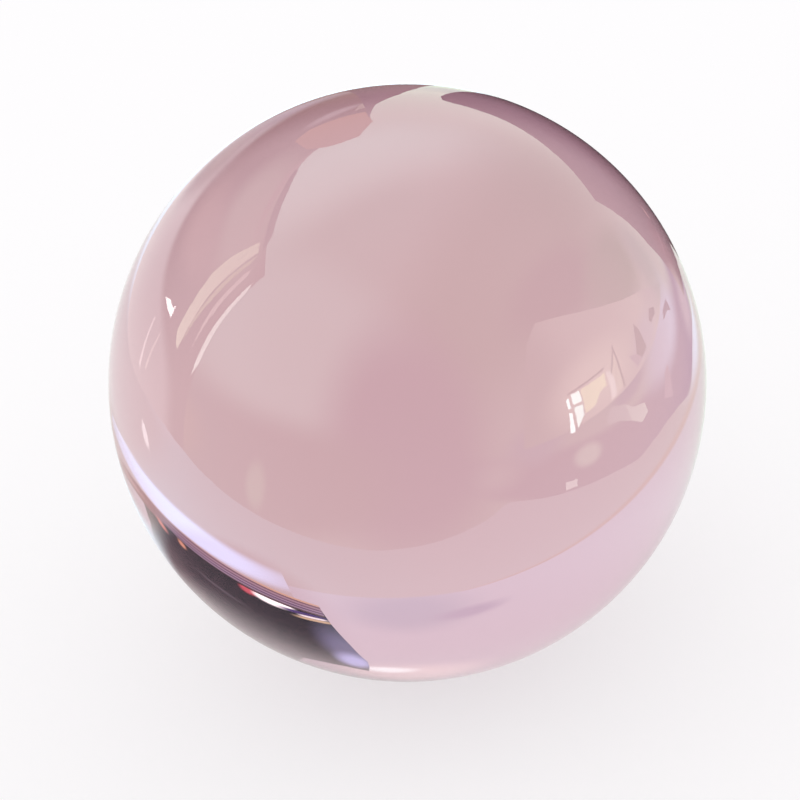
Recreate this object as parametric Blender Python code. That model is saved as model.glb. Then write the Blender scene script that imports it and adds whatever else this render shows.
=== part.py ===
"""Crystal ball paperweight: one solid ball of pale pink glass with a small ground flat underneath.

Metres, +Z up. The origin is the centre of the ground flat, so the ball stands on Z = 0.
"""

from math import asin, cos, pi, radians, sin, sqrt

import bmesh
import bpy
from mathutils import Matrix, Vector

# Driving dimensions
ball_diameter = 0.080  # over the polished surface
flat_diameter = 0.020  # the ground flat that stops the ball rolling
rim_break = 0.0005  # the small chamfer ground round the flat, measured along each side

# Fineness of the facets
facets_around = 72  # facets round the equator
facets_down = 36  # rows of facets from the top to the flat
smooth_limit = radians(6)  # edges that turn by more than this stay crisp

# Glass as it shows in the photograph: pale rose, clear and highly polished
glass_colour = (0.86, 0.64, 0.69, 1.0)
glass_roughness = 0.02
glass_ior = 1.52

ball_radius = ball_diameter / 2
flat_radius = flat_diameter / 2
flat_angle = asin(flat_radius / ball_radius)  # from straight down to the flat's edge
centre_height = sqrt(ball_radius**2 - flat_radius**2)  # ball's centre above the flat


def clear_scene():
    """Take every object out of the open scene."""
    for thing in list(bpy.data.objects):
        bpy.data.objects.remove(thing, do_unlink=True)


def pink_glass():
    """The ball's glass, as a plain see-through Principled surface."""
    glass = bpy.data.materials.new("pink_crystal")
    glass.use_nodes = True
    shader = glass.node_tree.nodes["Principled BSDF"]
    shader.inputs["Base Color"].default_value = glass_colour
    shader.inputs["Roughness"].default_value = glass_roughness
    shader.inputs["Metallic"].default_value = 0.0
    shader.inputs["IOR"].default_value = glass_ior
    shader.inputs["Transmission Weight"].default_value = 1.0
    return glass


def ball_profile():
    """Half the ball's outline in the XZ plane, from the top, down the arc, to the flat's centre."""
    sweep = pi - flat_angle
    arc = [
        (ball_radius * sin(turn), centre_height + ball_radius * cos(turn))
        for turn in (sweep * step / facets_down for step in range(1, facets_down + 1))
    ]
    top = (0.0, centre_height + ball_radius)
    arc[-1] = (flat_radius, 0.0)
    return [Vector((x, 0.0, z)) for x, z in [top, *arc, (0.0, 0.0)]]


def turned_mesh(name, profile):
    """Spin a profile that starts and ends on the Z axis into a closed mesh."""
    shell = bmesh.new()
    points = [shell.verts.new(point) for point in profile]
    edges = [shell.edges.new(pair) for pair in zip(points, points[1:])]
    bmesh.ops.spin(
        shell,
        geom=points + edges,
        cent=(0.0, 0.0, 0.0),
        axis=(0.0, 0.0, 1.0),
        angle=2 * pi,
        steps=facets_around,
        use_merge=True,
    )
    bmesh.ops.remove_doubles(shell, verts=shell.verts, dist=ball_radius * 1e-5)
    bmesh.ops.recalc_face_normals(shell, faces=shell.faces)
    mesh = bpy.data.meshes.new(name)
    shell.to_mesh(mesh)
    shell.free()
    return mesh


def ease_rim(mesh):
    """Take the sharp edge off where the polished ball meets the ground flat."""
    shell = bmesh.new()
    shell.from_mesh(mesh)
    on_flat = [face for face in shell.faces if face.normal.z < -0.9999]
    bmesh.ops.dissolve_faces(shell, faces=on_flat)
    flat = min(shell.faces, key=lambda face: face.calc_center_median().z)
    bmesh.ops.bevel(
        shell,
        geom=list(flat.edges),
        offset=rim_break,
        offset_type="OFFSET",
        segments=1,
        affect="EDGES",
    )
    bmesh.ops.recalc_face_normals(shell, faces=shell.faces)
    shell.to_mesh(mesh)
    shell.free()


def crystal_ball():
    """The whole paperweight: one polished ball with its ground and chamfered flat below."""
    mesh = turned_mesh("crystal_ball", ball_profile())
    ease_rim(mesh)
    mesh.shade_smooth()
    mesh.set_sharp_from_angle(angle=smooth_limit)
    mesh.materials.append(pink_glass())
    ball = bpy.data.objects.new("crystal_ball", mesh)
    ball.matrix_world = Matrix.Identity(4)
    bpy.context.scene.collection.objects.link(ball)
    return ball


def main():
    clear_scene()
    crystal_ball()


main()
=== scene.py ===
import math

import bmesh
import bpy
from mathutils import Matrix, Vector


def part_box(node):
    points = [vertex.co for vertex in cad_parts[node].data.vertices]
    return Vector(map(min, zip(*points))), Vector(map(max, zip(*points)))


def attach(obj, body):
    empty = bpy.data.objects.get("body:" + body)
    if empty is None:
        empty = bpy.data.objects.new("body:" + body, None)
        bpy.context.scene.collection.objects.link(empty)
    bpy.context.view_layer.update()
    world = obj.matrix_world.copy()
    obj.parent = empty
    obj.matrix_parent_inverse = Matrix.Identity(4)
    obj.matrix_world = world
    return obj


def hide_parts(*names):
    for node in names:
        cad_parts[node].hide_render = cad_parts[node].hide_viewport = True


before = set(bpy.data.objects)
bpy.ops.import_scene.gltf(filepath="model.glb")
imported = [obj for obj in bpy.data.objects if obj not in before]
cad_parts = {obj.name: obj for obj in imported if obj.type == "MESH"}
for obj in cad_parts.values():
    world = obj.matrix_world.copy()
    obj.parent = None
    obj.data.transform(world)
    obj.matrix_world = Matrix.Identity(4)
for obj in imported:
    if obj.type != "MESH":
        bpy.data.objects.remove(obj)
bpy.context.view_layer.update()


def feed(tree, socket, value):
    # Links the socket to another node's output, or sets its own value
    if isinstance(value, bpy.types.NodeSocket):
        tree.links.new(value, socket)
    else:
        socket.default_value = value


def addNode(tree, kind, values=None, **settings):
    made = tree.nodes.new(kind)
    for name, value in settings.items():
        setattr(made, name, value)
    for name, value in (values or {}).items():
        feed(tree, made.inputs[name], value)
    return made


def calc(tree, operation, *terms):
    made = tree.nodes.new("ShaderNodeMath")
    made.operation = operation
    for socket, term in zip(made.inputs, terms):
        feed(tree, socket, term)
    return made.outputs[0]


def clampedShare(tree, value, start, length):
    # How far value has come from start, as a share of length held between 0 and 1
    share = calc(tree, "DIVIDE", calc(tree, "SUBTRACT", value, start), length)
    return calc(tree, "MINIMUM", calc(tree, "MAXIMUM", share, 0.0), 1.0)


def newGroup(name, kind, inputs, outputs):
    # A node group with named sockets, and what its inputs give to the nodes inside
    tree = bpy.data.node_groups.new(name, kind)
    for way, sockets in (("INPUT", inputs), ("OUTPUT", outputs)):
        for label, form in sockets.items():
            tree.interface.new_socket(label, in_out=way, socket_type="NodeSocket" + form)
    return tree, tree.nodes.new("NodeGroupInput").outputs


def newMaterial(name):
    made = bpy.data.materials.new(name)
    made.use_nodes = True
    made.node_tree.nodes.clear()
    return made, made.node_tree


# The ball is turned from one outline. Its height comes from the solid
ball = {
    "flatDiameter": 0.020,  # the ground flat underneath, before its edge is eased
    "rimBreak": 0.0005,  # how much of the flat the eased edge takes
    "columns": 256,
    "arcRows": 180,  # rows of faces from the top down to the eased edge
    "rimRows": 6,
    "flatRows": 12,
    "weldDistance": 1e-6,
}

flatRadius = ball["flatDiameter"] / 2
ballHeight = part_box("crystal_ball")[1].z
ballRadius = (ballHeight**2 + flatRadius**2) / (2 * ballHeight)
ballCentre = Vector((0.0, 0.0, ballHeight - ballRadius))


def buildTurnedBallTree():
    tree, given = newGroup("turnedBall", "GeometryNodeTree", {
        "Ball Radius": "Float", "Flat Radius": "Float", "Rim Break": "Float",
        "Columns": "Int", "Arc Rows": "Int", "Rim Rows": "Int", "Flat Rows": "Int",
        "Weld Distance": "Float", "Glass": "Material",
    }, {"Geometry": "Geometry"})
    tree.is_modifier = True
    radius, flat = given["Ball Radius"], given["Flat Radius"]

    # The eased edge is an arc that leaves the ball and meets the flat smoothly
    squares = [calc(tree, "MULTIPLY", side, side) for side in (radius, flat)]
    centreHeight = calc(tree, "SQRT", calc(tree, "SUBTRACT", *squares))
    flatEdge = calc(tree, "SUBTRACT", flat, given["Rim Break"])
    edgeSquare = calc(tree, "MULTIPLY", flatEdge, flatEdge)
    gap = calc(tree, "MULTIPLY", calc(tree, "SUBTRACT", radius, centreHeight), 2.0)
    rimRadius = calc(tree, "DIVIDE", calc(tree, "SUBTRACT", squares[1], edgeSquare), gap)
    rimTurn = calc(tree, "ARCTAN2", flatEdge, calc(tree, "SUBTRACT", centreHeight, rimRadius))

    # Each row of the grid is a step along the outline, each column a turn about the axis
    rimStart = given["Arc Rows"]
    flatStart = calc(tree, "ADD", rimStart, given["Rim Rows"])
    rows = calc(tree, "ADD", flatStart, given["Flat Rows"])
    grid = addNode(tree, "GeometryNodeMeshGrid", {
        "Size X": 1.0,
        "Size Y": 1.0,
        "Vertices X": calc(tree, "ADD", given["Columns"], 1.0),
        "Vertices Y": calc(tree, "ADD", rows, 1.0),
    })
    place = addNode(tree, "ShaderNodeSeparateXYZ", {
        "Vector": addNode(tree, "GeometryNodeInputPosition").outputs[0],
    }).outputs
    row = calc(tree, "MULTIPLY", calc(tree, "ADD", place["Y"], 0.5), rows)
    turn = calc(tree, "MULTIPLY", place["X"], 2 * math.pi)
    arcAngle = calc(
        tree, "MULTIPLY", calc(tree, "SUBTRACT", math.pi, rimTurn),
        clampedShare(tree, row, 0.0, given["Arc Rows"]),
    )
    rimAngle = calc(
        tree, "MULTIPLY", rimTurn,
        calc(tree, "SUBTRACT", 1.0, clampedShare(tree, row, rimStart, given["Rim Rows"])),
    )
    flatShare = clampedShare(tree, row, flatStart, given["Flat Rows"])

    # Out from the axis and up from the flat: the arc first, then the eased edge, then the flat
    reach = calc(tree, "MULTIPLY", radius, calc(tree, "SINE", arcAngle))
    rimReach = calc(tree, "SUBTRACT", calc(tree, "SINE", rimAngle), calc(tree, "SINE", rimTurn))
    reach = calc(tree, "ADD", reach, calc(tree, "MULTIPLY", rimRadius, rimReach))
    reach = calc(tree, "SUBTRACT", reach, calc(tree, "MULTIPLY", flatEdge, flatShare))
    arcRise = calc(tree, "MULTIPLY", radius, calc(tree, "COSINE", arcAngle))
    rimDrop = calc(tree, "SUBTRACT", calc(tree, "COSINE", rimTurn), calc(tree, "COSINE", rimAngle))
    height = calc(tree, "ADD", centreHeight, arcRise)
    height = calc(tree, "ADD", height, calc(tree, "MULTIPLY", rimRadius, rimDrop))
    point = addNode(tree, "ShaderNodeCombineXYZ", {
        "X": calc(tree, "MULTIPLY", reach, calc(tree, "COSINE", turn)),
        "Y": calc(tree, "MULTIPLY", reach, calc(tree, "SINE", turn)),
        "Z": height,
    })

    turned = addNode(tree, "GeometryNodeSetPosition", {
        "Geometry": grid.outputs["Mesh"],
        "Position": point.outputs[0],
    })
    welded = addNode(tree, "GeometryNodeMergeByDistance", {
        "Geometry": turned.outputs[0],
        "Distance": given["Weld Distance"],
    })
    outward = addNode(tree, "GeometryNodeFlipFaces", {"Mesh": welded.outputs[0]})
    smooth = addNode(tree, "GeometryNodeSetShadeSmooth", {"Geometry": outward.outputs[0]})
    realised = addNode(tree, "GeometryNodeRealizeInstances", {"Geometry": smooth.outputs[0]})
    finished = addNode(tree, "GeometryNodeSetMaterial", {
        "Geometry": realised.outputs[0],
        "Material": given["Glass"],
    })
    addNode(tree, "NodeGroupOutput", {"Geometry": finished.outputs[0]})
    return tree


def makeByTree(name, tree, inputs):
    # Runs the tree on an empty mesh and keeps the result as a plain mesh
    holder = bpy.data.objects.new(name, bpy.data.meshes.new(name + "Start"))
    bpy.context.scene.collection.objects.link(holder)
    modifier = holder.modifiers.new("shape", "NODES")
    modifier.node_group = tree
    for item in tree.interface.items_tree:
        if item.item_type == "SOCKET" and item.in_out == "INPUT":
            modifier[item.identifier] = inputs[item.name]
    evaluated = holder.evaluated_get(bpy.context.evaluated_depsgraph_get())
    mesh = bpy.data.meshes.new_from_object(evaluated)
    holder.modifiers.clear()
    mesh.name = name
    holder.data = mesh
    return holder


# The glass, and what handling and grinding leave on it
glass = {
    "tint": (0.985, 0.955, 0.965, 1.0),
    "ior": 1.52,
    "absorbColour": (0.952, 0.910, 0.919, 1.0),  # what the bulk keeps of white
    "absorbDensity": 125.0,  # per metre
    "polish": 0.0,  # roughness of the clean polish
    "smear": 0.012,  # roughness that a smear adds
    "smearSize": 45.0,
    "smearDetail": 5.0,
    "smearRough": 0.6,
    "smearTwist": 1.2,
    "smearStart": 0.52,  # noise under this leaves the polish clean
    "smearFade": 0.3,
    "ground": 0.07,  # roughness of the flat
    "groundReach": 0.2,  # how high the grinding goes, as a share of the eased edge
    "grindDepth": 0.000004,
    "grindRings": 900.0,
    "ringShare": 0.15,  # how much the rings count beside the grit
    "gritSize": 4200.0,
    "gritDetail": 3.0,
}


def buildGroundMarkGroup():
    # Smears over the polish, and the grit and rings of grinding near the flat
    tree, given = newGroup("groundMarks", "ShaderNodeTree", {
        "Polish": "Float", "Smear": "Float", "Smear Size": "Float",
        "Ground": "Float", "Ground Height": "Float", "Rings": "Float",
    }, {"Roughness": "Float", "Height": "Float"})
    place = addNode(tree, "ShaderNodeTexCoord").outputs["Object"]
    axes = addNode(tree, "ShaderNodeSeparateXYZ", {"Vector": place}).outputs
    heightShare = clampedShare(tree, axes["Z"], 0.0, given["Ground Height"])
    groundShare = calc(tree, "SUBTRACT", 1.0, heightShare)
    smears = addNode(tree, "ShaderNodeTexNoise", {
        "Vector": place,
        "Scale": given["Smear Size"],
        "Detail": glass["smearDetail"],
        "Roughness": glass["smearRough"],
        "Distortion": glass["smearTwist"],
    }).outputs["Fac"]
    smears = clampedShare(tree, smears, glass["smearStart"], glass["smearFade"])
    clear = calc(tree, "ADD", given["Polish"], calc(tree, "MULTIPLY", smears, given["Smear"]))
    rough = addNode(tree, "ShaderNodeMix", {
        "Factor": groundShare,
        "A": clear,
        "B": given["Ground"],
    })
    grit = addNode(tree, "ShaderNodeTexNoise", {
        "Vector": place,
        "Scale": glass["gritSize"],
        "Detail": glass["gritDetail"],
    }).outputs["Fac"]
    level = addNode(tree, "ShaderNodeCombineXYZ", {"X": axes["X"], "Y": axes["Y"]}).outputs[0]
    distance = addNode(tree, "ShaderNodeVectorMath", {0: level}, operation="LENGTH")
    ringTurn = calc(tree, "MULTIPLY", distance.outputs["Value"], given["Rings"])
    rings = calc(tree, "MULTIPLY", calc(tree, "SINE", ringTurn), glass["ringShare"])
    addNode(tree, "NodeGroupOutput", {
        "Roughness": rough.outputs["Result"],
        "Height": calc(tree, "MULTIPLY", calc(tree, "ADD", grit, rings), groundShare),
    })
    return tree


def makePinkCrystal():
    material, tree = newMaterial("pinkCrystal")
    marks = addNode(tree, "ShaderNodeGroup", {
        "Polish": glass["polish"],
        "Smear": glass["smear"],
        "Smear Size": glass["smearSize"],
        "Ground": glass["ground"],
        "Ground Height": ball["rimBreak"] * glass["groundReach"],
        "Rings": glass["grindRings"],
    }, node_tree=buildGroundMarkGroup())
    bump = addNode(tree, "ShaderNodeBump", {
        "Strength": 1.0,
        "Distance": glass["grindDepth"],
        "Height": marks.outputs["Height"],
    })
    shader = addNode(tree, "ShaderNodeBsdfPrincipled", {
        "Base Color": glass["tint"],
        "Metallic": 0.0,
        "IOR": glass["ior"],
        "Transmission Weight": 1.0,
        "Roughness": marks.outputs["Roughness"],
        "Normal": bump.outputs[0],
    })
    bulk = addNode(tree, "ShaderNodeVolumeAbsorption", {
        "Color": glass["absorbColour"],
        "Density": glass["absorbDensity"],
    })
    addNode(tree, "ShaderNodeOutputMaterial", {
        "Surface": shader.outputs[0],
        "Volume": bulk.outputs[0],
    })
    return material


def makeBall():
    crystal = makeByTree("pinkBall", buildTurnedBallTree(), {
        "Ball Radius": ballRadius,
        "Flat Radius": flatRadius,
        "Rim Break": ball["rimBreak"],
        "Columns": ball["columns"],
        "Arc Rows": ball["arcRows"],
        "Rim Rows": ball["rimRows"],
        "Flat Rows": ball["flatRows"],
        "Weld Distance": ball["weldDistance"],
        "Glass": makePinkCrystal(),
    })
    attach(crystal, "root")
    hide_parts("crystal_ball")
    print("ball:", len(crystal.data.polygons), "faces")


# From here on it is stage. The camera sees only the pale floor and the plain world beside the
# ball. The room, the tables and the board glow, and show on the polish or through the glass.
# Directions are degrees from the ball's centre: azimuth 0 is behind it and 90 to its right.
# Lengths are in ball radii from that centre.

def toward(azimuth, elevation):
    around, up = math.radians(azimuth), math.radians(elevation)
    return Vector((math.sin(around) * math.cos(up), math.cos(around) * math.cos(up), math.sin(up)))


def tilted(right, rise, tilt):
    # The two axes turned in their own plane
    turn = math.radians(tilt)
    return (
        right * math.cos(turn) + rise * math.sin(turn),
        rise * math.cos(turn) - right * math.sin(turn),
    )


def buildSoftMarkGroup():
    # Lays a colour over another inside a soft-edged oval, or nearer to a box with more squareness
    tree, given = newGroup("softMark", "ShaderNodeTree", {
        "Across": "Float", "Up": "Float", "Half Width": "Float", "Half Height": "Float",
        "Softness": "Float", "Squareness": "Float", "Under": "Color", "Over": "Color",
    }, {"Colour": "Color"})
    power = given["Squareness"]
    sides = []
    for place, half in (("Across", "Half Width"), ("Up", "Half Height")):
        share = calc(tree, "DIVIDE", calc(tree, "ABSOLUTE", given[place]), given[half])
        sides.append(calc(tree, "POWER", share, power))
    reach = calc(tree, "POWER", calc(tree, "ADD", *sides), calc(tree, "DIVIDE", 1.0, power))
    cover = addNode(tree, "ShaderNodeMapRange", {
        "Value": reach,
        "From Min": calc(tree, "ADD", 1.0, given["Softness"]),
        "From Max": calc(tree, "SUBTRACT", 1.0, given["Softness"]),
    }, interpolation_type="SMOOTHSTEP")
    mix = addNode(tree, "ShaderNodeMix", {
        "Factor": cover.outputs["Result"],
        6: given["Under"],  # 6 and 7 are the node's colour sockets A and B
        7: given["Over"],
    }, data_type="RGBA")
    addNode(tree, "NodeGroupOutput", {"Colour": mix.outputs[2]})
    return tree


def buildDirectionGroup():
    # Where a point lies as seen from the ball's centre, in degrees from the middle of a mark
    tree, given = newGroup("directionPlace", "ShaderNodeTree", {
        "Place": "Vector", "Right": "Vector", "Rise": "Vector", "Ahead": "Vector",
    }, {"Across": "Float", "Up": "Float"})
    way = addNode(tree, "ShaderNodeVectorMath", {0: given["Place"]}, operation="NORMALIZE")
    right, rise, ahead = (
        addNode(tree, "ShaderNodeVectorMath", {
            0: way.outputs[0],
            1: given[name],
        }, operation="DOT_PRODUCT").outputs["Value"]
        for name in ("Right", "Rise", "Ahead")
    )
    addNode(tree, "NodeGroupOutput", {
        "Across": calc(tree, "DEGREES", calc(tree, "ARCTAN2", right, ahead)),
        "Up": calc(tree, "DEGREES", calc(tree, "ARCSINE", rise)),
    })
    return tree


def buildFlatPlaceGroup():
    # Where a point of a flat board or table lies from the middle of a mark
    tree, given = newGroup("flatPlace", "ShaderNodeTree", {
        "Place": "Vector", "Middle": "Vector", "Right": "Vector", "Rise": "Vector",
    }, {"Across": "Float", "Up": "Float"})
    way = addNode(tree, "ShaderNodeVectorMath", {
        0: given["Place"],
        1: given["Middle"],
    }, operation="SUBTRACT")
    across, up = (
        addNode(tree, "ShaderNodeVectorMath", {
            0: way.outputs[0],
            1: given[name],
        }, operation="DOT_PRODUCT").outputs["Value"]
        for name in ("Right", "Rise")
    )
    addNode(tree, "NodeGroupOutput", {"Across": across, "Up": up})
    return tree


builtGroups = {}


def buildOnce(builder):
    if builder not in builtGroups:
        builtGroups[builder] = builder()
    return builtGroups[builder]


def directionFinder(across, up, tilt):
    # For what is painted by its direction from the ball, such as a wall
    around = math.radians(across)
    ahead = toward(across, up)
    level = Vector((math.cos(around), -math.sin(around), 0.0))
    right, rise = tilted(level, level.cross(ahead), tilt)
    return buildOnce(buildDirectionGroup), {"Right": right, "Rise": rise, "Ahead": ahead}


def flatFinder(upAxis):
    # For a table, whose up axis is Y, or an upright board, whose up axis is Z
    level = Vector((1.0, 0.0, 0.0))

    def find(across, up, tilt):
        right, rise = tilted(level, upAxis, tilt)
        return buildOnce(buildFlatPlaceGroup), {
            "Middle": level * across + upAxis * up,
            "Right": right,
            "Rise": rise,
        }

    return find


def layMarks(tree, colour, marks, finder):
    # Lays the marks one over another, the last on top. Each says where it lies across and up,
    # half its size across and up, its softness, squareness and tilt, and its colour
    place = addNode(tree, "ShaderNodeTexCoord").outputs["Object"]
    for across, up, halfWidth, halfHeight, softness, squareness, tilt, over in marks:
        group, axes = finder(across, up, tilt)
        spot = addNode(tree, "ShaderNodeGroup", {"Place": place, **axes}, node_tree=group).outputs
        colour = addNode(tree, "ShaderNodeGroup", {
            "Across": spot["Across"],
            "Up": spot["Up"],
            "Half Width": halfWidth,
            "Half Height": halfHeight,
            "Softness": softness,
            "Squareness": squareness,
            "Under": colour,
            "Over": (*over, 1.0),
        }, node_tree=buildOnce(buildSoftMarkGroup)).outputs["Colour"]
    return colour


def glowMaterial(name, paint):
    # Glows in the colour that paint returns, and lights nothing else
    material, tree = newMaterial(name)
    light = addNode(tree, "ShaderNodeEmission", {"Color": paint(tree), "Strength": 1.0})
    addNode(tree, "ShaderNodeOutputMaterial", {"Surface": light.outputs[0]})
    material.cycles.emission_sampling = "NONE"
    return material


def markedGlow(name, colour, marks, finder):
    return glowMaterial(name, lambda tree: layMarks(tree, (*colour, 1.0), marks, finder))


def stageMesh(name, points, faces, material, seenBy, turn=0.0):
    mesh = bpy.data.meshes.new(name)
    mesh.from_pydata([tuple(point) for point in points], [], faces)
    mesh.materials.append(material)
    made = bpy.data.objects.new(name, mesh)
    made.location = ballCentre
    made.rotation_euler.z = -math.radians(turn)
    made.scale = (ballRadius, ballRadius, ballRadius)
    bpy.context.scene.collection.objects.link(made)
    for way in ("camera", "diffuse", "glossy", "transmission", "volume_scatter", "shadow"):
        setattr(made, "visible_" + way, way in seenBy)


def stageCard(name, points, material, seenBy, turn=0.0):
    stageMesh(name, points, [tuple(range(len(points)))], material, seenBy, turn)


floorLook = {
    "size": 3.0,  # half its width, in metres
    "drop": 0.0001,  # below the flat, so that the two don't share a plane
    "colour": (0.42, 0.415, 0.42, 1.0),
    "glow": (1.0, 0.995, 1.0, 1.0),
    "glowStrength": 0.575,
}

floorLevel = -(ballCentre.z + floorLook["drop"]) / ballRadius


def makeFloor():
    material, tree = newMaterial("paleFloor")
    matt = addNode(tree, "ShaderNodeBsdfDiffuse", {"Color": floorLook["colour"]})
    lift = addNode(tree, "ShaderNodeEmission", {
        "Color": floorLook["glow"],
        "Strength": floorLook["glowStrength"],
    })
    both = addNode(tree, "ShaderNodeAddShader", {0: matt.outputs[0], 1: lift.outputs[0]})
    addNode(tree, "ShaderNodeOutputMaterial", {"Surface": both.outputs[0]})
    material.cycles.emission_sampling = "NONE"
    size = floorLook["size"] / ballRadius
    corners = [(x * size, y * size, floorLevel) for x, y in ((-1, -1), (1, -1), (1, 1), (-1, 1))]
    stageCard("floor", corners, material, ("camera", "diffuse", "shadow"))
    print("floor:", 2 * floorLook["size"], "m wide")


# The table as the polish shows it
table = {
    "corners": (
        (1.55, -3.28), (1.75, -3.30), (2.05, -2.65), (2.45, -1.85), (2.65, -1.30), (2.70, -0.75),
        (2.95, -0.35), (3.08, 0.10), (3.00, 0.50), (2.66, 0.95), (2.85, 1.35), (3.00, 1.75),
        (2.96, 2.15), (2.62, 2.60), (2.90, 6.00), (1.00, 9.00), (-2.58, 9.40), (-7.90, 2.30),
        (-7.40, 0.65), (-5.90, -0.70), (-4.30, -1.50), (-3.13, -1.94), (-2.50, -2.12),
        (-1.94, -2.26), (-1.40, -2.34), (-0.56, -2.42), (0.21, -2.63), (1.10, -2.97),
    ),
    "colour": (1.50, 1.75, 1.95),
    "marks": (
        (-3.4, -1.7, 2.9, 3.6, 0.35, 2.0, 0, (1.05, 1.60, 1.80)),  # cooler at the left front
        (3.4, 3.0, 4.2, 4.2, 0.40, 2.0, 0, (1.00, 1.10, 1.02)),  # dimmer at the right back
        (2.95, 1.95, 0.50, 1.0, 0.5, 2.0, 0, (1.35, 1.70, 1.95)),
        (-4.0, 3.0, 4.4, 2.8, 0.30, 2.0, 0, (1.10, 1.12, 1.10)),  # and at the left back
        (-4.15, 0.98, 0.62, 0.12, 0.30, 2.0, -32, (3.40, 3.40, 3.40)),  # a glint
        (-1.85, 0.85, 0.45, 0.95, 0.40, 2.0, 0, (0.88, 0.82, 0.78)),
        (0.0, 0.0, 1.3, 1.3, 0.35, 2.0, 0, (0.88, 0.82, 0.84)),  # shade round the ball
        (-1.2, -0.52, 0.78, 0.80, 0.22, 2.0, 0, (0.14, 0.14, 0.16)),  # deep shade at its left
        # painted shade, less deep close to the ball on its left
        (-0.50, -0.05, 0.62, 0.62, 0.30, 2.0, 0, (0.68, 0.66, 0.66)),
    ),
}

# Through the glass the table's left edge runs straight back, left of the ball
tableThrough = {
    "corners": ((-3.60, -24.0), (24.0, -24.0), (24.0, 40.0), (-3.60, 40.0)),
    "colour": (1.03, 1.03, 1.01),
    "marks": (
        (-8.00, 0, 5.10, 400, 0.045, 3.0, 0, (1.09, 1.14, 1.22)),  # as pale as what is beyond
        (-2.75, 0, 0.42, 60, 0.80, 2.0, 0, (1.03, 0.93, 0.85)),  # warm along the edge
        (0, 0, 1.34, 1.34, 0.30, 2.0, 0, (0.78, 0.70, 0.75)),  # shade under the ball
        # painted shade, deeper and pinker at its core
        (0, 0, 1.02, 1.02, 0.12, 2.0, 0, (0.55, 0.42, 0.50)),
        # a painted glint, cool, beyond the ball
        (2.65, 2.35, 0.55, 0.22, 0.45, 2.0, -35, (1.35, 1.75, 2.05)),
    ),
}


def makeTables():
    finder = flatFinder(Vector((0.0, 1.0, 0.0)))
    for name, look, seenBy in (
        ("tableShine", table, "glossy"),
        ("tableThrough", tableThrough, "transmission"),
    ):
        material = markedGlow(name, look["colour"], look["marks"], finder)
        points = [(x, y, floorLevel) for x, y in look["corners"]]
        stageCard(name, points, material, (seenBy,))
    print("tables:", len(table["marks"]) + len(tableThrough["marks"]), "marks")


# Small glints just over the foot of the board. They lie across its lines and its face
footSpots = (
    (0.15, -0.470, 0.08, 0.045, 0.50, 2.0, -20, (1.20, 0.55, 0.42)),
    (-0.17, -0.465, 0.05, 0.040, 0.50, 2.0, 0, (1.30, 0.75, 0.45)),
)

# The dark board stands behind and to the right. The polish mirrors its front at the upper right,
# and the glass bends it round to the lower left, with coloured lines along its foot
board = {
    "facing": 35.0,
    "depth": 3.3,
    "outline": (
        (-1.47, -0.968), (-0.20, -0.968), (0.10, -0.60), (1.02, -0.60), (1.10, -0.35),
        (1.24, 0.06), (1.35, 0.40), (1.34, 0.83), (1.39, 1.64), (0.97, 1.70), (0.40, 1.75),
        (-0.36, 1.78), (-0.90, 1.84), (-1.23, 1.84), (-1.38, 1.76), (-1.47, 1.50),
    ),
    "colour": (0.05, 0.04, 0.045),
    "faceMarks": (
        (-0.2, 1.1, 1.1, 0.50, 0.60, 2.0, -4, (0.14, 0.11, 0.13)),  # faint light near the top
        (0.9, -0.1, 0.35, 0.30, 0.50, 2.0, 30, (0.16, 0.06, 0.07)),
        (1.17, -0.45, 0.26, 0.26, 0.60, 2.0, 0, (0.68, 0.60, 0.55)),  # pale lower corner
        (0.36, -0.02, 0.065, 0.03, 0.60, 2.0, -32, (0.80, 0.44, 0.38)),  # reddish streaks
        (0.76, -0.09, 0.19, 0.02, 0.60, 2.0, 0, (0.42, 0.22, 0.24)),
    ),
    "throughOutline": (
        (-1.47, -0.49), (0.55, -0.49), (0.62, -0.20), (1.00, 0.30), (1.20, 1.00), (1.30, 2.60),
        (-0.20, 2.60), (-0.45, 1.70), (-0.73, 1.18), (-1.00, 1.09), (-1.25, 1.12), (-1.46, 1.29),
        (-1.53, 1.00), (-1.57, 0.72), (-1.55, 0.45), (-1.53, 0.12), (-1.49, -0.23),
    ),
    "throughColour": (0.008, 0.030, 0.035),
    "throughMarks": (
        (0.0, 2.4, 3.0, 1.35, 0.60, 2.0, 0, (0.37, 0.42, 0.41)),  # paler towards the top
        (1.6, 0.7, 1.2, 2.2, 0.50, 2.0, 0, (0.33, 0.35, 0.30)),  # and towards the right end
        (-0.45, -0.14, 0.22, 0.03, 0.60, 2.0, -14, (0.12, 0.15, 0.17)),
        (-1.44, 0.30, 0.16, 0.42, 0.70, 2.0, 0, (0.25, 0.32, 0.55)),  # blue left end
        # a painted highlight, lilac, at the left end
        (-1.43, 0.76, 0.15, 0.28, 0.60, 2.0, 0, (0.90, 1.15, 1.85)),
        (-0.88, -0.42, 0.09, 0.06, 0.40, 2.0, 20, (1.10, 0.22, 0.28)),  # red glint
        (-1.07, -0.39, 0.16, 0.065, 0.25, 2.0, -3, (2.30, 2.75, 2.65)),  # bright glint
        (-1.30, -0.345, 0.18, 0.022, 0.40, 3.0, 0, (0.12, 0.10, 0.38)),
        (-1.36, -0.31, 0.11, 0.015, 0.30, 3.0, 0, (1.70, 1.95, 1.95)),
        (-1.36, -0.272, 0.15, 0.020, 0.40, 3.0, 0, (1.10, 1.00, 0.62)),
        *footSpots,
    ),
}

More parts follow.
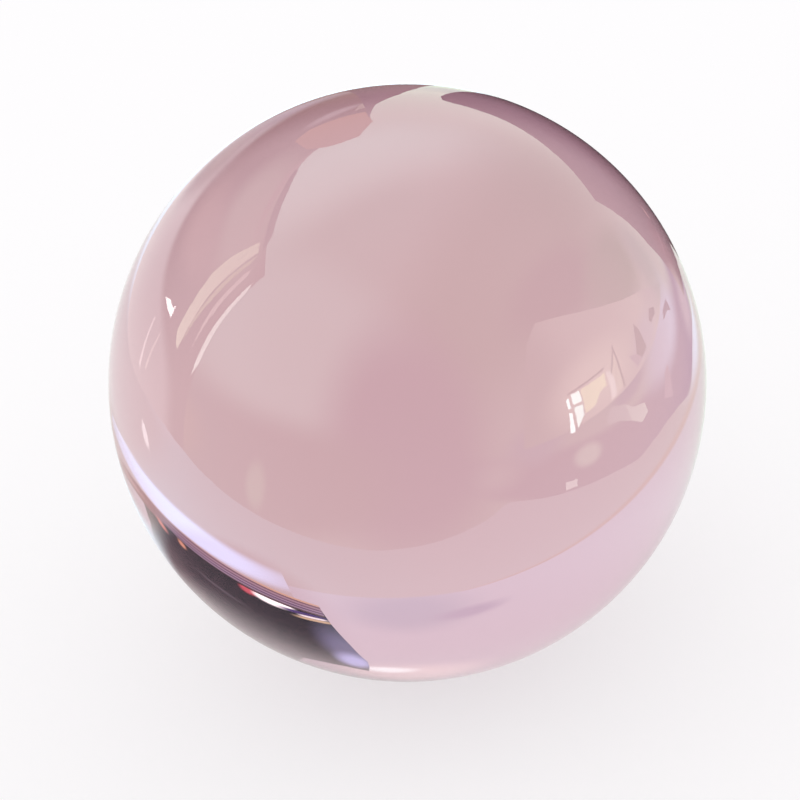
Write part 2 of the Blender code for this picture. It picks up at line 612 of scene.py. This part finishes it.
# The foot line sags in the middle: height = low + bend * across squared
footLines = {
    "from": -1.47,
    "to": 1.75,
    "pieces": 24,
    "low": -0.665,
    "bend": 0.062,
    "height": 0.18,
    "ahead": 0.004,  # before the board, so that the two don't share a plane
    # Lines up the band from its foot: the pale ones at 0.32, 0.55 and 0.76 are painted highlights,
    # the dark ones lie between
    "lines": (
        (0.00, (1.00, 0.95, 0.95)), (0.10, (0.95, 0.85, 0.90)), (0.18, (0.22, 0.13, 0.15)),
        (0.32, (0.75, 0.62, 0.74)), (0.45, (0.22, 0.15, 0.25)), (0.55, (0.74, 0.65, 0.84)),
        (0.66, (0.14, 0.09, 0.20)), (0.76, (0.66, 0.60, 0.80)), (0.86, (0.24, 0.20, 0.22)),
        (1.00, (0.03, 0.03, 0.04)),
    ),
    "marks": (
        (1.05, -0.60, 0.95, 0.20, 0.35, 2.0, 0, (0.52, 0.30, 0.28)),  # browner at the right
        (1.10, -0.50, 0.60, 0.03, 0.50, 2.0, 6, (0.85, 0.55, 0.50)),
        (-1.22, -0.562, 0.30, 0.014, 0.40, 3.0, -9, (1.15, 0.88, 0.62)),
        (-0.40, -0.440, 0.52, 0.060, 0.10, 4.0, -5, (0.008, 0.030, 0.035)),  # the board's foot
        *footSpots,
    ),
}

# Cool light on what the board stands on
lilacStrip = {
    "outline": ((-1.30, -0.967), (1.90, -0.967), (1.90, -0.50), (-1.30, -0.50)),
    "ahead": -0.004,  # behind the board
    "colour": (1.02, 1.01, 1.00),
    "marks": (
        (0.40, -0.82, 1.68, 0.13, 0.25, 3.0, -3.3, (1.42, 1.88, 2.40)),
    ),
}


def paintFootLines(tree):
    axes = addNode(tree, "ShaderNodeSeparateXYZ", {
        "Vector": addNode(tree, "ShaderNodeTexCoord").outputs["Object"],
    }).outputs
    sag = calc(tree, "MULTIPLY", calc(tree, "MULTIPLY", axes["X"], axes["X"]), footLines["bend"])
    foot = calc(tree, "ADD", sag, footLines["low"])
    ramp = addNode(tree, "ShaderNodeValToRGB", {
        "Fac": clampedShare(tree, axes["Z"], foot, footLines["height"]),
    })
    stops = ramp.color_ramp.elements
    while len(stops) < len(footLines["lines"]):
        stops.new(1.0)
    for stop, (place, colour) in zip(stops, footLines["lines"]):
        stop.position = place
        stop.color = (*colour, 1.0)
    return ramp.outputs["Color"]


def footOutline():
    # The band that the lines lie in, out along its foot and back along its top
    start, pieces = footLines["from"], footLines["pieces"]
    length = footLines["to"] - start
    across = [start + length * step / pieces for step in range(pieces + 1)]
    foot = [(x, footLines["low"] + footLines["bend"] * x * x) for x in across]
    return foot + [(x, z + footLines["height"]) for x, z in reversed(foot)]


def makeBoard():
    finder = flatFinder(Vector((0.0, 0.0, 1.0)))
    face = markedGlow("boardFace", board["colour"], board["faceMarks"], finder)
    through = markedGlow("boardThrough", board["throughColour"], board["throughMarks"], finder)
    lines = glowMaterial("footLines", lambda tree: layMarks(
        tree, paintFootLines(tree), footLines["marks"], finder,
    ))
    lilac = markedGlow("lilacStrip", lilacStrip["colour"], lilacStrip["marks"], finder)
    for name, outline, ahead, material, seenBy in (
        ("boardFace", board["outline"], 0.0, face, "glossy"),
        ("boardThrough", board["throughOutline"], 0.0, through, "transmission"),
        ("footLines", footOutline(), footLines["ahead"], lines, "transmission"),
        ("lilacStrip", lilacStrip["outline"], lilacStrip["ahead"], lilac, "transmission"),
    ):
        points = [(x, board["depth"] - ahead, z) for x, z in outline]
        stageCard(name, points, material, (seenBy,), board["facing"])
    print("board:", len(footLines["lines"]), "lines along its foot")


# The room as the polish shows it
room = {
    "distance": 60.0,
    "subdivisions": 5,
    "colour": (1.15, 1.40, 1.15),
    "marks": (
        (-60, 72, 70, 26, 0.6, 2.0, 0, (1.15, 1.65, 1.35)),  # ceiling
        (25, 35, 48, 34, 0.45, 2.0, 0, (1.85, 2.00, 1.70)),  # far wall
        (-22, 57, 32, 15, 0.7, 2.0, 0, (2.50, 3.20, 2.90)),  # brightest part of the ceiling
        (112, 48, 60, 26, 0.5, 2.0, 0, (0.45, 0.80, 0.40)),  # dim ceiling at the right
        (-128, 38, 42, 27, 0.4, 2.0, 0, (1.80, 2.45, 2.20)),  # pale wall at the left front
        (100, 33, 22, 10, 0.5, 2.0, 14, (0.10, 0.25, 0.10)),
        (74, 16, 17, 9, 0.4, 2.0, 16, (0.25, 0.80, 0.35)),
        (-177, 6, 27, 42, 0.4, 2.5, 0, (0.35, 0.28, 0.46)),  # dim front, over the camera
        (-118, -9, 50, 20, 0.3, 3.0, 0, (0.32, 0.42, 0.30)),
        (-84, -5, 14, 9, 0.5, 2.0, 0, (0.70, 0.60, 0.25)),
        (88, -21, 76, 9, 0.20, 3.0, -2, (0.28, 0.25, 0.50)),  # dark band, low at the right
        (67, -8, 17, 6, 0.5, 2.0, -6, (1.45, 1.75, 2.25)),
        (117, -15.5, 5.5, 3.4, 0.4, 2.0, 10, (1.90, 2.40, 1.90)),  # pale cover on a seat
        (94, -6.5, 9, 2.5, 0.5, 2.0, -4, (0.45, 0.60, 0.85)),
        (137, -4, 10, 6, 0.6, 2.0, 0, (0.60, 0.80, 1.10)),
        (-121.5, -12.5, 3.4, 8.0, 0.45, 2.0, 14, (1.05, 1.60, 1.00)),
        (152, -10, 7, 5, 0.9, 2.0, 0, (1.10, 1.22, 1.15)),
        (47, -4, 6, 5, 0.7, 2.0, 0, (1.15, 1.35, 1.15)),
        (56, 3.5, 6, 7.5, 0.6, 2.0, 0, (0.77, 1.18, 0.96)),
        (41, -16.5, 6, 4, 0.6, 2.0, 0, (0.80, 0.72, 0.85)),
    ),
}

# What the glass shows beyond the table
farThrough = {
    "distance": 50.0,
    "subdivisions": 5,
    "colour": (1.09, 1.14, 1.22),
    "marks": (
        (6, 36, 12, 9, 0.5, 2.0, 0, (1.45, 1.50, 1.45)),  # light over the board
        (10, 30.5, 4.5, 2.4, 0.6, 2.0, 0, (1.90, 2.45, 2.35)),
        (3, 3, 8, 5, 0.6, 2.0, 0, (0.93, 0.98, 1.10)),
        (-5.5, 4.5, 4.5, 1.4, 0.6, 2.0, 6, (0.88, 0.86, 1.02)),
    ),
}


def makeShells():
    for name, look, seenBy in (
        ("room", room, "glossy"),
        ("farThrough", farThrough, "transmission"),
    ):
        material = markedGlow(name + "Glow", look["colour"], look["marks"], directionFinder)
        shell = bmesh.new()
        bmesh.ops.create_icosphere(
            shell, subdivisions=look["subdivisions"], radius=look["distance"],
        )
        points = [vertex.co.copy() for vertex in shell.verts]
        faces = [tuple(vertex.index for vertex in face.verts) for face in shell.faces]
        shell.free()
        stageMesh(name, points, faces, material, (seenBy,))
        print(name + ":", len(look["marks"]), "marks")


# Upright walls that stand before the room: the dark one at the left, the one round the window
walls = {
    "leftWall": {
        "facing": -62.0,
        "depth": 25.0,
        "corners": (
            (-91.0, -25.0), (-2.0, -25.0), (-2.0, 34.0), (-24.0, 43.2), (-60.0, 50.4),
            (-91.0, 47.3),
        ),
        "colour": (0.36, 0.26, 0.16),
        "marks": (
            (-56, 41, 22, 10, 0.5, 2.0, 0, (1.15, 1.15, 0.90)),  # light under the ceiling
            (-51, 24, 16, 7, 0.6, 2.0, -18, (0.95, 0.65, 0.50)),
            (-42, 46.5, 17, 1.1, 0.5, 2.0, -8, (1.10, 0.85, 0.75)),
            (-46, -8, 36, 18.0, 0.12, 3.0, 4, (1.42, 1.38, 1.32)),  # pale lower part
            (-14, -1, 12, 6, 0.5, 2.0, -24, (0.76, 0.67, 0.71)),
            (-8, 21, 6, 1.6, 0.6, 2.0, -35, (0.95, 0.80, 0.75)),
            (-21, 4, 10, 4.5, 0.8, 2.0, -46, (0.95, 0.85, 0.78)),
        ),
    },
    "windowWall": {
        "facing": 98.0,
        "depth": 25.0,
        "corners": (
            (55.0, -3.5), (142.0, -3.5), (139.0, 9.0), (134.0, 20.0), (127.0, 28.5), (119.0, 32.0),
            (110.0, 28.6), (100.0, 23.4), (90.0, 17.6), (79.0, 11.0), (69.0, 5.2), (60.4, -0.4),
        ),
        "colour": (1.85, 1.95, 1.60),
        "marks": (
            (141, 16, 21, 30, 0.5, 2.0, 0, (0.95, 1.20, 0.90)),  # dimmer at the front end
            (110, 4, 17, 9, 0.6, 2.0, 0, (3.30, 3.30, 2.55)),  # glow of the window
            (78, -1, 9, 4, 0.6, 2.0, 0, (1.50, 1.70, 1.80)),
            (58, 2, 12, 8, 0.5, 2.0, 0, (1.20, 1.35, 1.25)),
            (55.5, 1, 6, 7, 0.6, 2.0, 0, (0.78, 1.13, 1.00)),
        ),
    },
}


def onWall(corner, facing, depth):
    # The point of an upright wall that lies in a direction
    way = toward(*corner)
    return way * (depth / way.dot(toward(facing, 0.0)))


def makeWalls():
    for name, wall in walls.items():
        material = markedGlow(name + "Glow", wall["colour"], wall["marks"], directionFinder)
        points = [onWall(corner, wall["facing"], wall["depth"]) for corner in wall["corners"]]
        stageCard(name, points, material, ("glossy",))
        print(name + ":", len(wall["marks"]), "marks")


# Small things that the polish shows. Each is a flat card: its corners as directions, its colour
brightThings = {
    "distance": 22.0,
    "cards": {
        "paneUpperLeft": (
            ((122.6, 5.6), (121.4, 5.6), (121.6, 2.2), (122.8, 2.4)),
            (10.0, 13.0, 12.5),
        ),
        "paneLowerLeft": (
            ((122.8, 1.2), (121.6, 0.9), (121.9, -5.7), (124.0, -5.1)),
            (10.0, 13.0, 12.5),
        ),
        "paneUpperRight": (
            ((120.2, 6.2), (116.4, 5.6), (116.6, 2.2), (120.4, 2.8)),
            (9.0, 12.0, 11.0),
        ),
        "paneLowerRight": (
            ((120.5, 1.8), (116.7, 1.3), (117.2, -2.2), (120.6, -5.0)),
            (8.0, 11.0, 10.0),
        ),
        "blind": (
            ((115.9, 5.6), (104.0, 4.4), (104.6, 0.8), (108.2, 0.8), (111.7, -1.9), (116.3, -1.9)),
            (5.6, 5.9, 3.4),
        ),
        "blindLight": (
            ((114.0, 5.3), (109.0, 4.8), (109.2, 2.6), (112.6, 1.6)),
            (6.6, 6.6, 4.4),
        ),
        "jamb": (
            ((103.0, 4.2), (99.6, 2.4), (99.8, -3.6), (104.2, -4.2)),
            (4.8, 5.0, 4.4),
        ),
        "openSash": (
            ((101.8, 2.8), (96.8, 7.0), (97.4, -3.4), (101.8, -4.2)),
            (3.2, 3.3, 2.4),
        ),
        "tableSpot": (
            ((127.6, -20.4), (122.6, -20.8), (122.4, -23.4), (127.2, -23.2)),
            (3.6, 3.9, 3.7),
        ),
        "spark": (
            (
                (-60.4, 11.0), (-63.7, 13.1), (-67.1, 13.6), (-68.0, 15.0), (-68.8, 12.0),
                (-65.4, 11.4),
            ),
            (9.0, 9.5, 9.0),
        ),
        "thinLine": (
            ((-60.3, -6.0), (-60.2, 5.2), (-61.0, 5.6), (-61.8, -6.4)),
            (2.9, 2.7, 2.6),
        ),
        "thinLineTwo": (
            ((-64.8, -4.0), (-67.0, 6.2), (-67.8, 6.0), (-65.8, -4.4)),
            (2.5, 2.3, 2.1),
        ),
        "redPatch": (
            (
                (-21.9, 40.1), (-17.8, 44.2), (-13.0, 45.4), (-6.8, 44.5), (-1.7, 36.1),
                (-2.7, 27.0), (-7.9, 27.3), (-14.8, 28.1), (-20.0, 31.0),
            ),
            (1.10, 0.60, 0.30),
        ),
        "coverFar": (
            (
                (107.7, -7.2), (104.7, -6.0), (98.8, -8.4), (96.5, -14.4), (102.3, -11.5),
                (108.5, -9.8),
            ),
            (1.55, 1.85, 1.70),
        ),
        "coverNear": (
            (
                (98.8, -8.4), (95.2, -11.0), (88.9, -13.0), (87.5, -16.0), (91.3, -17.1),
                (96.5, -14.4),
            ),
            (2.30, 2.70, 2.35),
        ),
        "endStreak": (
            ((-4.5, 24.5), (-1.0, 22.5), (0.6, 15.0), (-0.4, 13.5), (-3.0, 19.5)),
            (0.95, 0.80, 0.60),
        ),
        "curtain": (
            (
                (-77.7, 10.4), (-75.1, 12.9), (-73.8, 22.5), (-71.4, 31.0), (-71.1, 38.5),
                (-72.1, 48.0), (-77.5, 47.5), (-78.0, 38.0), (-78.4, 29.0), (-79.4, 19.0),
                (-79.4, 10.5),
            ),
            (3.2, 3.3, 2.3),
        ),
        "curtainPleat": (
            ((-76.6, 13.0), (-74.9, 30.0), (-74.3, 46.0), (-75.3, 40.0), (-75.9, 28.0)),
            (2.3, 2.2, 1.5),
        ),
        "curtainFold": (
            ((-80.0, 13.0), (-79.2, 28.0), (-79.0, 47.0), (-80.8, 44.0), (-81.0, 28.0)),
            (2.0, 2.2, 1.2),
        ),
        "curtainEdge": (
            ((-85.6, 14.0), (-84.0, 28.0), (-83.6, 44.0), (-85.6, 42.0), (-86.0, 28.0)),
            (2.6, 2.3, 2.0),
        ),
        "whiteEdge": (
            ((-90.0, 9.0), (-89.8, 25.0), (-90.6, 43.0), (-92.0, 40.0), (-91.8, 14.0)),
            (5.0, 5.6, 5.0),
        ),
    },
}

darkThings = {
    "distance": 20.0,
    "cards": {
        "wallEnd": (
            ((-2.4, 33.0), (-0.5, 22.0), (3.0, 12.0), (4.2, 3.0), (4.2, -9.0), (-2.4, -9.0)),
            (0.30, 0.22, 0.20),
        ),
        "wallTrim": (
            (
                (-78.5, 49.0), (-60.0, 50.2), (-45.0, 49.2), (-32.0, 46.2), (-32.0, 47.4),
                (-45.0, 51.4), (-60.0, 52.8), (-72.0, 52.4),
            ),
            (0.10, 0.15, 0.12),
        ),
        "windowHead": (
            ((121.4, 7.2), (103.4, 5.9), (103.4, 5.3), (121.4, 6.6)),
            (0.6, 0.7, 0.4),
        ),
        "sashEdge": (
            ((95.8, 8.4), (96.9, 6.6), (97.7, -3.6), (96.8, -3.8)),
            (0.6, 0.8, 0.5),
        ),
        "sashTop": (
            ((95.9, 8.4), (101.5, 3.0), (101.2, 2.3), (96.5, 6.6)),
            (0.8, 1.0, 0.7),
        ),
        "leafTall": (
            ((82.0, 5.4), (80.8, 3.0), (80.6, -2.6), (84.5, -2.8), (86.8, -0.6)),
            (0.10, 0.35, 0.20),
        ),
        "leafShade": (
            ((86.8, -0.6), (84.5, -2.8), (88.5, -3.3), (90.8, 1.4)),
            (1.2, 1.2, 1.3),
        ),
        "leafMiddle": (
            ((70.5, 1.2), (67.5, -0.6), (68.2, -1.6), (72.8, -1.0), (73.6, 0.2)),
            (0.10, 0.30, 0.25),
        ),
        "leafFar": (
            ((63.5, -4.6), (58.0, -5.6), (57.6, -8.4), (60.6, -6.6), (65.0, -5.8)),
            (0.15, 0.20, 0.35),
        ),
        "leafLow": (
            ((71.6, -12.2), (74.6, -13.0), (77.0, -17.7), (70.5, -20.0)),
            (0.85, 0.70, 0.90),
        ),
    },
}


def makeThings(things):
    for name, (corners, colour) in things["cards"].items():
        points = [toward(*corner) * things["distance"] for corner in corners]
        material = glowMaterial(name + "Glow", lambda tree: (*colour, 1.0))
        stageCard(name, points, material, ("glossy",))
    print("small things:", len(things["cards"]), "cards")


skyLook = {
    "colour": (1.0, 0.99, 1.0, 1.0),
    "strength": 1.0,
}


def makeWorld():
    world = bpy.data.worlds.new("softRoom")
    bpy.context.scene.world = world
    world.use_nodes = True
    sky = world.node_tree.nodes["Background"]
    sky.inputs["Color"].default_value = skyLook["colour"]
    sky.inputs["Strength"].default_value = skyLook["strength"]
    print("world: plain, strength", skyLook["strength"])


# Where the camera stood: distance and lens give the ball its size in the frame
view = {
    "elevation": 30.0,
    "roll": -6.0,
    "distance": 7.0,  # in ball radii
    "frame": 800,  # pixels across and down
    "centre": (407.3, 382.5),  # the ball's centre in the photograph
    "radius": 299.4,  # the ball's radius in the photograph
    "sensor": 36.0,
}


def makeCamera():
    up = math.radians(view["elevation"])
    ahead = Vector((0.0, math.cos(up), -math.sin(up)))
    level = Vector((1.0, 0.0, 0.0))
    across, above = tilted(level, level.cross(ahead), view["roll"])
    turn = Matrix((across, above, -ahead)).transposed()
    lens = bpy.data.cameras.new("camera")
    lens.sensor_width = view["sensor"]
    pixelsDeep = view["radius"] * math.sqrt(view["distance"] ** 2 - 1)
    lens.lens = pixelsDeep * view["sensor"] / view["frame"]
    lens.shift_x = 0.5 - view["centre"][0] / view["frame"]
    lens.shift_y = view["centre"][1] / view["frame"] - 0.5
    lens.dof.use_dof = False
    camera = bpy.data.objects.new("camera", lens)
    stand = ballCentre - ahead * view["distance"] * ballRadius
    camera.matrix_world = Matrix.Translation(stand) @ turn.to_4x4()
    bpy.context.scene.collection.objects.link(camera)
    bpy.context.scene.camera = camera
    print("camera:", round(lens.lens, 1), "mm lens")


makeBall()
makeFloor()
makeTables()
makeBoard()
makeShells()
makeWalls()
makeThings(brightThings)
makeThings(darkThings)
makeWorld()
makeCamera()
bpy.context.scene.view_settings.view_transform = "Standard"
